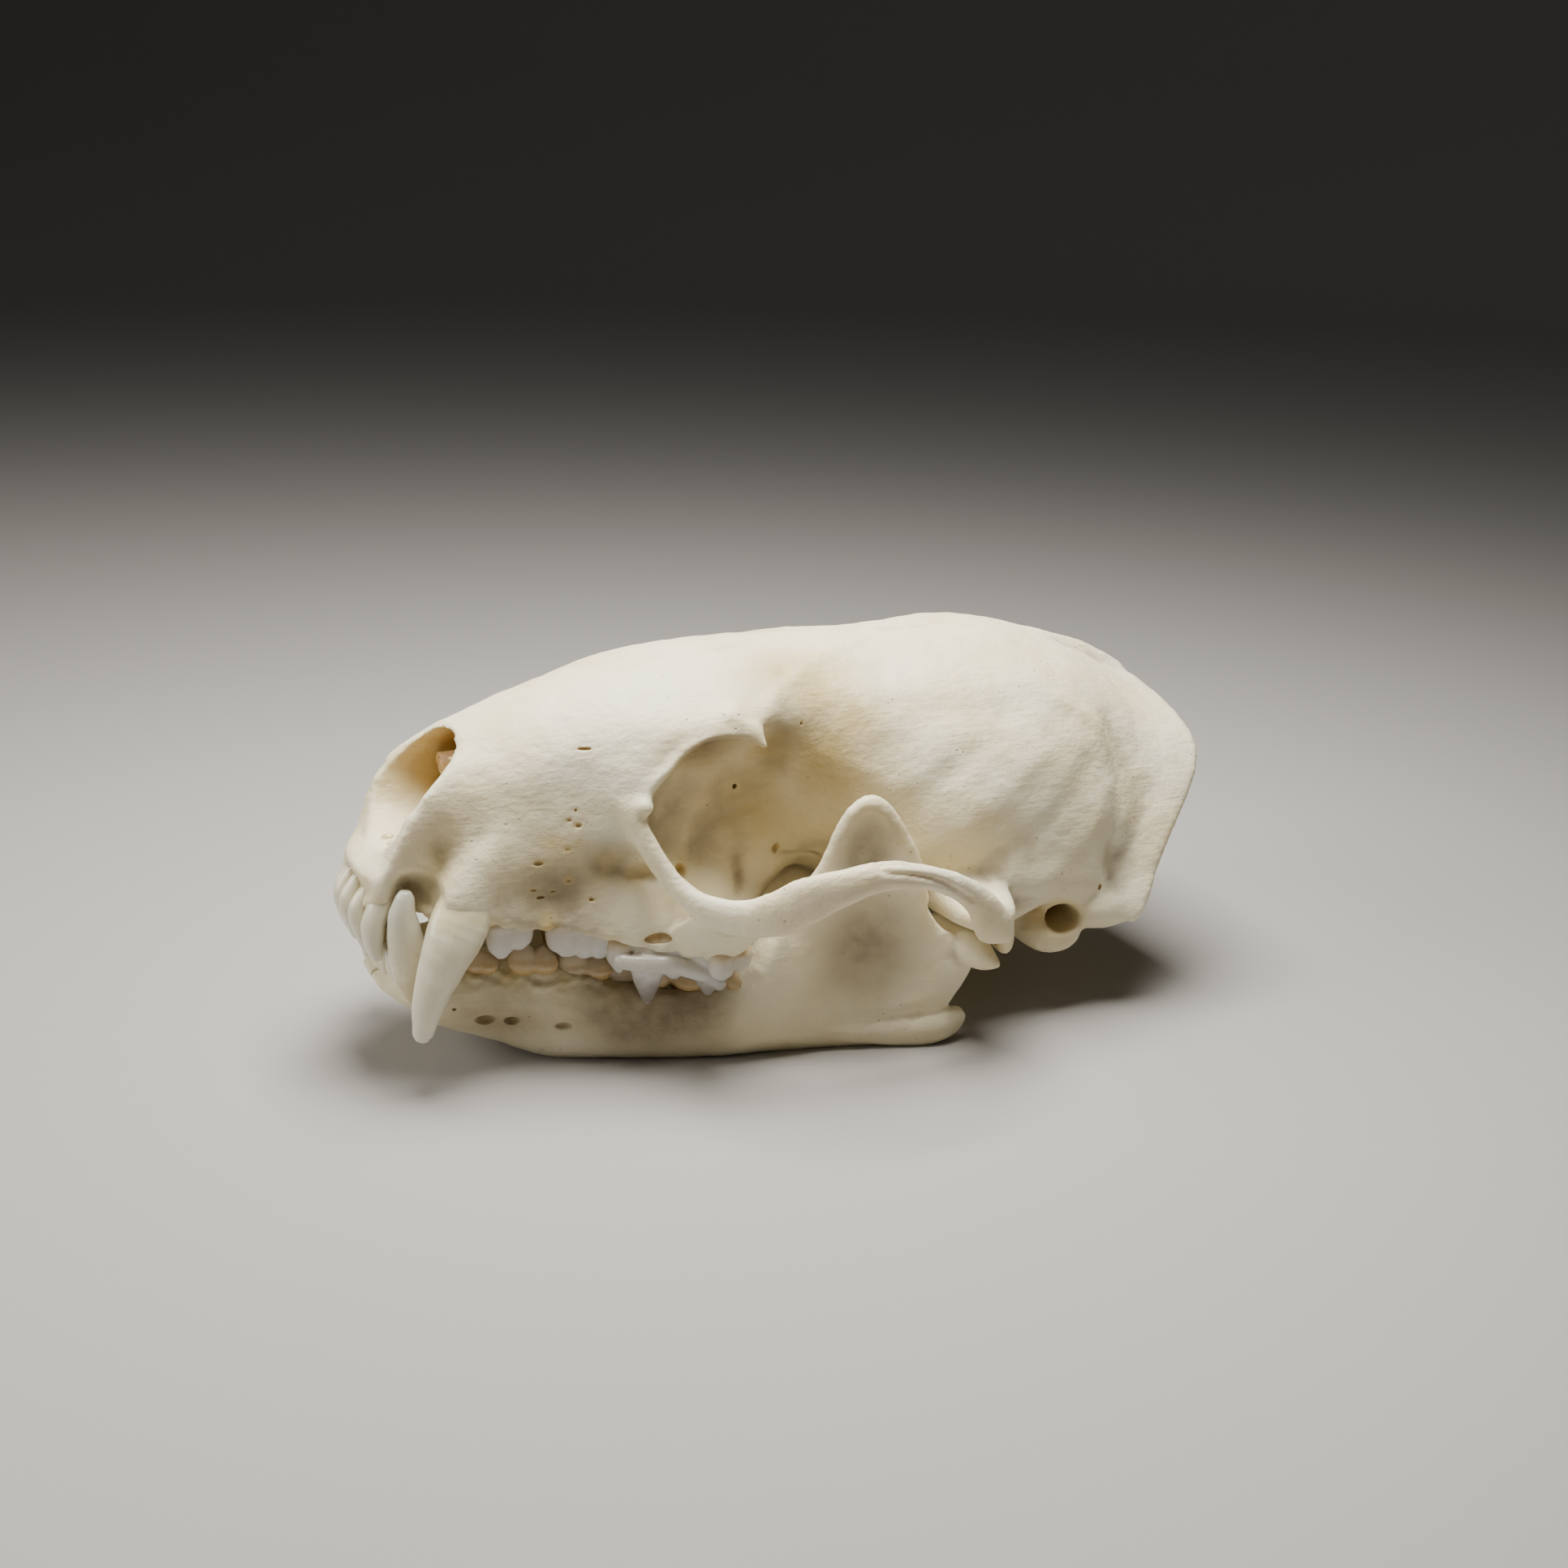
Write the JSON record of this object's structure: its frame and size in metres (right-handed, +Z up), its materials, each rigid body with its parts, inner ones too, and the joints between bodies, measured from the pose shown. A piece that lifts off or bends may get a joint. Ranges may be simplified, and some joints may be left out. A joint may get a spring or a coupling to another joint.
{
  "type": "skunk skull",
  "caption": "Bare skunk skull with its lower jaw shut and its canines crossed, resting on the underside of the jaw.",
  "frame": {"origin": "centre of the footprint of the whole skull, on the plane that the underside of the jaw rests on", "axes": "+X from the snout towards the back of the skull, +Y towards the animal's right, +Z up"},
  "size_m": [0.0693, 0.0429, 0.0299],
  "materials": {
    "snout_bone": "cleaned dry bone with worn enamel teeth",
    "braincase_bone": "cleaned dry bone",
    "cheek_arch_left_bone": "cleaned dry bone",
    "cheek_arch_right_bone": "cleaned dry bone",
    "jaw_left_bone": "cleaned dry bone with worn enamel teeth",
    "jaw_right_bone": "cleaned dry bone with worn enamel teeth"
  },
  "bodies": {
    "root": {"snout": "snout_bone", "braincase": "braincase_bone", "cheek_arch_left": "cheek_arch_left_bone", "cheek_arch_right": "cheek_arch_right_bone", "jaw_left": "jaw_left_bone", "jaw_right": "jaw_right_bone"}
  },
  "joints": []
}
